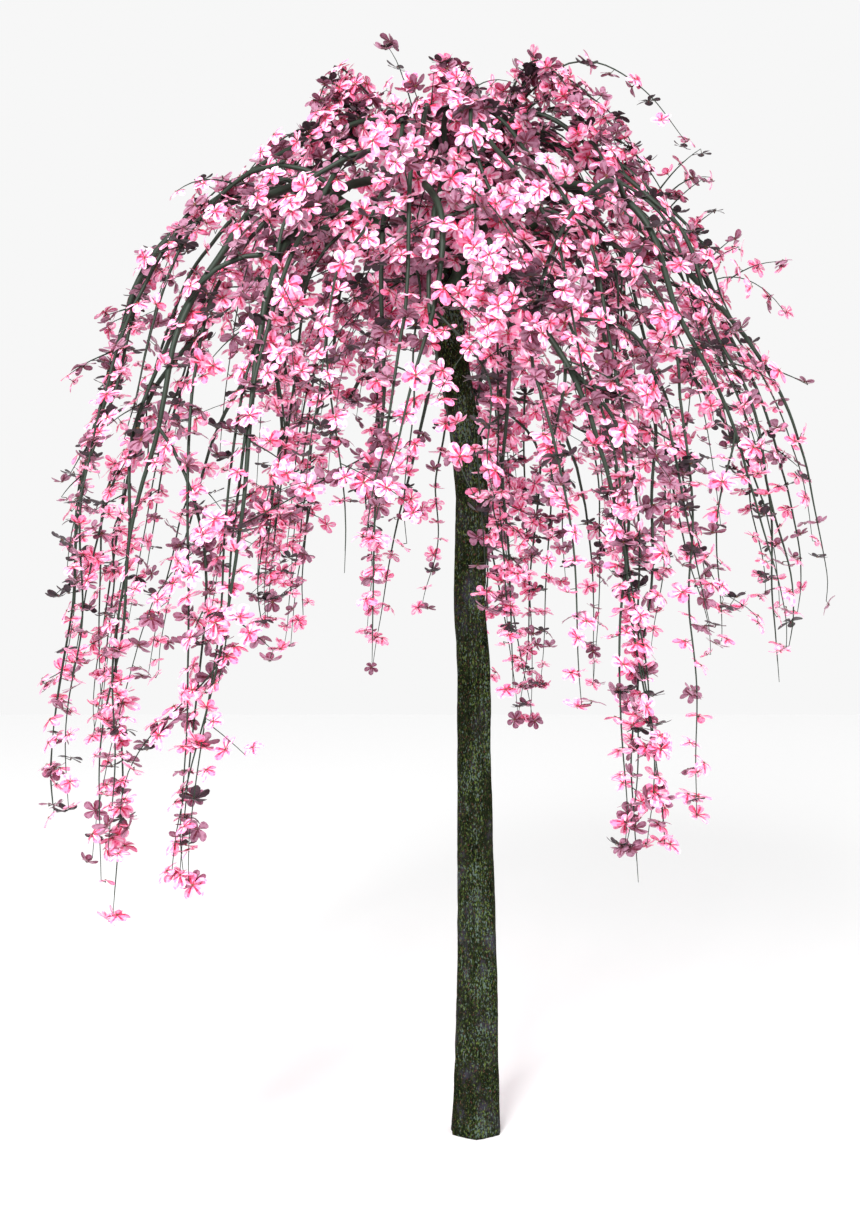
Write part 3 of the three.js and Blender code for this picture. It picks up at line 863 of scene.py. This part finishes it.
def add_node(tree, kind, settings=None, **links):
    """Adds a shader node, with settings for its properties, and values or links for its sockets by name
    or by _ and number."""
    made = tree.nodes.new("ShaderNode" + kind)
    for name, value in (settings or {}).items():
        setattr(made, name, value)
    for name, value in links.items():
        key = int(name[1:]) if name[0] == "_" and name[1:].isdigit() else name.replace("_", " ")
        if isinstance(value, bpy.types.Node):
            value = value.outputs[0]
        if isinstance(value, bpy.types.NodeSocket):
            tree.links.new(value, made.inputs[key])
        else:
            made.inputs[key].default_value = value
    return made


def plain(name, colour, roughness, **more):
    """A material of one colour on the shader's own sockets."""
    material = bpy.data.materials.new(name)
    material.use_nodes = True
    sockets = material.node_tree.nodes["Principled BSDF"].inputs
    for name, value in {"Base_Color": linear(colour), "Roughness": roughness, **more}.items():
        sockets[name.replace("_", " ")].default_value = value
    return material


# Cherry petals are thin living tissue with a waxy bloom: matt, and a little velvety at the edges. Fresh
# ones have their own colours, from crimson streaks to nearly white margins. The dull plum tint and the
# nearly black one are painted shade: the petal colours darkened for flowers turned away from the light, in
# the crown's shade or seen edge-on. The heart is dry tan stamens, and the cup is the leathery red-brown
# calyx behind the petals.
PETALS = {
    "fresh": {"crimson": "#D62A54", "rose": "#F06694", "pink": "#FB92BC", "pale": "#FEB8D8",
              "white": "#FFE6F1"},
    "dusky": {"crimson": "#661832", "rose": "#7A3852", "pink": "#8C566E", "pale": "#A4728A"},
    "spent": {"dark": "#160A11", "plum": "#2E1A25"},
}
blossom_finishes = [plain("flower_heart", "#6E4A2C", 0.7), plain("flower_cup", "#5A2A30", 0.6)]
blossom_finishes += [plain(f"{tint}_petal_{shade}", colour, 0.6, Specular_IOR_Level=0.3, Sheen_Weight=0.15)
                     for tint, shades in PETALS.items() for shade, colour in shades.items()]


def textured(material, colour, bump):
    """The material, with a colour and a bump on its shader."""
    tree = material.node_tree
    shader = tree.nodes["Principled BSDF"]
    tree.links.new(colour, shader.inputs["Base Color"])
    tree.links.new(bump.outputs[0], shader.inputs["Normal"])
    return material


def bark_finish():
    """Old cherry bark under moss and lichen, left rough by wind and rain: it is nearly black green and
    slate and all but matt, with pale, yellow and rusty specks of a few millimetres and fine cracks.
    A grain's scale is how many of it there are in a metre: 19 is a patch every 53 mm."""
    material = plain("mossy_bark", "#131B0B", 0.95, Specular_IOR_Level=0.06)
    tree = material.node_tree
    where = add_node(tree, "TexCoord").outputs["Object"]
    tall = add_node(tree, "Mapping", Vector=where, Scale=(1, 1, 0.55))
    heights = add_node(tree, "TexNoise", Vector=tall, Scale=19.0, Detail=9.0, Roughness=0.74)
    colour = add_node(tree, "ValToRGB", Fac=heights)
    stops = colour.color_ramp.elements
    stops[0].position, stops[0].color = 0.38, linear("#070A04")
    stops[1].position, stops[1].color = 0.64, linear("#34323D")
    stops.new(0.47).color = linear("#131B0B")
    stops.new(0.54).color = linear("#1B1D16")
    # Lichen keeps to wide places, one every 125 mm. The side that faces the front, towards the key light,
    # gets more of its pale specks as painted light, so the lit middle of the trunk is lighter.
    lichen_and_front_light = add_node(tree, "TexNoise", Vector=where, Scale=8.0, Detail=3.0)
    normal = add_node(tree, "NewGeometry").outputs["Normal"]
    turned = add_node(tree, "VectorMath", {"operation": "DOT_PRODUCT"}, _0=normal, _1=(0.05, -1.0, 0.0))
    painted_front_light = add_node(tree, "MapRange", _0=turned.outputs["Value"], _1=0.80, _2=0.99, _3=0.0, _4=0.17)
    lichen_and_front_light = add_node(tree, "Math", {"operation": "ADD"}, _0=lichen_and_front_light, _1=painted_front_light)
    # Each kind of speck: how many in a metre, where it starts, how far it follows the wide places and the
    # painted light on the front, and its colour. They are 6.7 mm of moss, 3.8 mm of rust, and 5 and 4.3 mm
    # of yellow and grey lichen.
    for scale, start, follow, code in ((150.0, 0.60, 0.0, "#2F3A1B"), (260.0, 0.65, 0.0, "#5A3A32"),
                                       (200.0, 0.80, 0.3, "#566632"), (230.0, 0.86, 0.4, "#56665E")):
        shifted = add_node(tree, "Mapping", Vector=tall, Location=(scale, 0, 0))
        grain = add_node(tree, "TexNoise", Vector=shifted, Scale=scale, Detail=3.0, Roughness=0.6)
        total = add_node(tree, "Math", {"operation": "MULTIPLY_ADD"}, _0=lichen_and_front_light, _1=follow, _2=grain)
        amount = add_node(tree, "MapRange", _0=total, _1=start - 0.06, _2=start + 0.05)
        mixed = add_node(tree, "Mix", {"data_type": "RGBA"}, _0=amount, _6=colour, _7=linear(code))
        colour = mixed.outputs[2]
        heights = add_node(tree, "Math", {"operation": "MULTIPLY_ADD"}, _0=grain, _1=0.5, _2=heights)
    bump = add_node(tree, "Bump", Height=heights, Strength=0.6, Distance=0.004)
    return textured(material, colour, bump)


def limb_finish():
    """Younger bark on boughs and limbs: smooth and dark green with a satin gloss, and a grey bloom in
    places, one every 17 mm."""
    material = plain("limb_bark", "#0F1D0E", 0.65, Specular_IOR_Level=0.3)
    tree = material.node_tree
    where = add_node(tree, "TexCoord").outputs["Object"]
    grain = add_node(tree, "TexNoise", Vector=where, Scale=60.0, Detail=4.0)
    ground = add_node(tree, "ValToRGB", Fac=grain)
    stops = ground.color_ramp.elements
    stops[0].position, stops[0].color = 0.38, linear("#0F1D0E")
    stops[1].position, stops[1].color = 0.66, linear("#253A23")
    bump = add_node(tree, "Bump", Height=grain, Strength=0.3, Distance=0.002)
    return textured(material, ground.outputs[0], bump)


# ---- The tree ----

rng = np.random.default_rng(GROWTH_SEED)
FORMS = [flower_form(rng) for _ in range(FLOWER_FORMS)]
BOUGHS = [f"bough_{i + 1}" for i in range(SECTORS)]
LEADERS = [f"leader_{i + 1}" for i in range(3)]

main_boughs = [grow_bough(name, sector) for sector, name in enumerate(BOUGHS)]
leaders = [grow_bough(name, SECTORS) for name in LEADERS]
curtains = [outer_curtain(index) for index in range(TRESSES)]
fountains = grow_fountains(rng, leaders, curtains)
outer_limbs = [grow_limb(rng, curtain, main_boughs[index // 2]) for index, curtain in enumerate(curtains)]
hanging = list(fountains.values()) + outer_limbs
for index, curtain in enumerate(curtains):
    over = [fountains[index]] if index in fountains else []
    hanging += grow_shoots(rng, index, curtain, outer_limbs, over)
for bough in main_boughs:
    hanging += grow_inner_tress(rng, bough)
for limb in [stem for stem in hanging if stem.kind == "limb"]:
    hanging += grow_plumb_shoots(rng, limb)
hanging += grow_sprays(rng, leaders, list(fountains.values())) + grow_tufts(leaders)
hanging += grow_trailing(rng, hanging)
hanging += grow_twigs(rng, [stem for stem in hanging if stem.sector != SECTORS])

bark = bark_finish()
limb_bark = limb_finish()
# Bark in its first year and flower stalks: a smooth green skin with a dull satin gloss.
young_bark = plain("young_bark_green", "#172819", 0.6)
stalk_green = plain("flower_stalk", "#3A3A26", 0.6)


def trunk_piece():
    """The trunk's skin, with flutes, ridges and lumps raised in it, closed at its foot and its top."""
    heights = np.concatenate([[0.001], np.linspace(0.05, box_of("trunk")[1][2] - 0.012, 48)])
    cuts = [section("trunk", UP * height, UP) for height in heights]
    middles = np.array([middle for middle, _ in cuts])
    radii = np.array([mean_radius(cut) for cut in cuts])
    z = np.linspace(0, heights[-1], TRUNK_RINGS)
    path = np.stack([np.interp(z, heights, middles[:, 0]), np.interp(z, heights, middles[:, 1]), z], 1)
    turn = np.arange(TRUNK_SIDES) * 2 * math.pi / TRUNK_SIDES
    # Six soft flutes, with a rib towards the front.
    from_rib = (turn + math.pi / 2) % (math.pi / 3) - math.pi / 6
    radius = np.interp(z, heights, radii)[:, None] * (1 - FLUTES + FLUTES * FLUTE_BED / np.cos(from_rib))
    for i, height in enumerate(z):
        for j, angle in enumerate(turn):
            x, y = math.cos(angle), math.sin(angle)
            ridges = noise.fractal(Vector((x * 5.5, y * 5.5, height * 7)), 0.9, 2.1, 4)
            lumps = noise.noise(Vector((x * 1.3, y * 1.3, height * 3.1)))
            radius[i, j] += RIDGE_HEIGHT * ridges + LUMP_HEIGHT * lumps
    level = np.stack([np.cos(turn), np.sin(turn), np.zeros(TRUNK_SIDES)], 1)
    skin = (path[:, None] + level[None] * radius[:, :, None]).reshape(-1, 3)
    points = np.vstack([skin, path[0], path[-1] + UP * 0.012])
    top = fan((TRUNK_RINGS - 1) * TRUNK_SIDES, TRUNK_SIDES, len(points) - 1)
    foot = fan(0, TRUNK_SIDES, len(points) - 2)[:, [1, 0, 2]]
    bundle = Bundle()
    bundle.add(points, (tube_faces(TRUNK_RINGS, TRUNK_SIDES), 0), (np.vstack([top, foot]), 0))
    bundle.piece("trunk_bark", [bark], "bark", ["trunk"])


trunk_piece()

boughs = Bundle()
for stem in main_boughs + leaders:
    add_tube(boughs, stem.path, stem.radii, SIDES["bough"])
boughs.piece("bough_bark", [limb_bark], "bark", BOUGHS + LEADERS)

for sector in range(SECTORS + 1):
    wood, blossom = Bundle(), Bundle()
    flowers, stalks = [], []
    stems = [stem for stem in hanging if stem.sector == sector]
    for stem in stems:
        add_tube(wood, stem.path, stem.radii, SIDES[stem.kind])
        flower_along(rng, stem, flowers, stalks)
    join_flowers(blossom, flowers)
    for ends in stalks:
        add_tube(wood, np.array(ends), np.array(STALK_RADII), 3, finish=1)
    if sector == SECTORS:
        name, masses = "cap", [mass for mass in FOLIAGE if mass.startswith(("cap", "tuft"))]
    else:
        name = str(sector + 1)
        masses = [f"shoulder_{name}", f"inner_tress_{name}"]
        masses += [f"tress_{2 * sector + 1}", f"tress_{2 * sector + 2}"]
    blossom.piece(f"blossom_{name}", blossom_finishes, "blossom", masses)
    wood.piece(f"shoots_{name}", [young_bark, stalk_green], "young_bark",
               [stem.stands_for for stem in stems if stem.stands_for])


# ---- Floor, light and camera ----

ground = bpy.data.meshes.new("floor")
ground.from_pydata([(-9, -9, 0), (9, -9, 0), (9, 9, 0), (-9, 9, 0)], [], [(0, 1, 2, 3)])
ground.materials.append(plain("floor_paint", "#FAFAFA", 0.9))
floor = put("floor", ground)

world = bpy.data.worlds.new("studio")
bpy.context.scene.world = world
world.use_nodes = True
sky = world.node_tree.nodes["Background"].inputs
sky["Color"].default_value = (1, 1, 1, 1)
sky["Strength"].default_value = 0.93


def lamp(name, place, aim, power, size):
    """A square soft light that points from one place to another."""
    light = bpy.data.lights.new(name, "AREA")
    light.energy, light.size = power, size
    holder = put(name, light)
    holder.location = place
    holder.rotation_euler = (Vector(aim) - Vector(place)).to_track_quat("-Z", "Y").to_euler()


lamp("key_light", (-1.5, -4.5, 5.3), (0, 0, 1.9), 368, 1.6)
lamp("fill_light", (3.6, -2.8, 2.4), (0, 0, 1.8), 60, 2.5)

lens = bpy.data.cameras.new("camera")
lens.lens, lens.sensor_width = 49, 36
camera = put("camera", lens)
camera.location = (-0.13, -4.6, 1.785)
camera.rotation_euler = (math.radians(86), 0, 0)
bpy.context.scene.camera = camera
bpy.context.scene.view_settings.view_transform = "Standard"
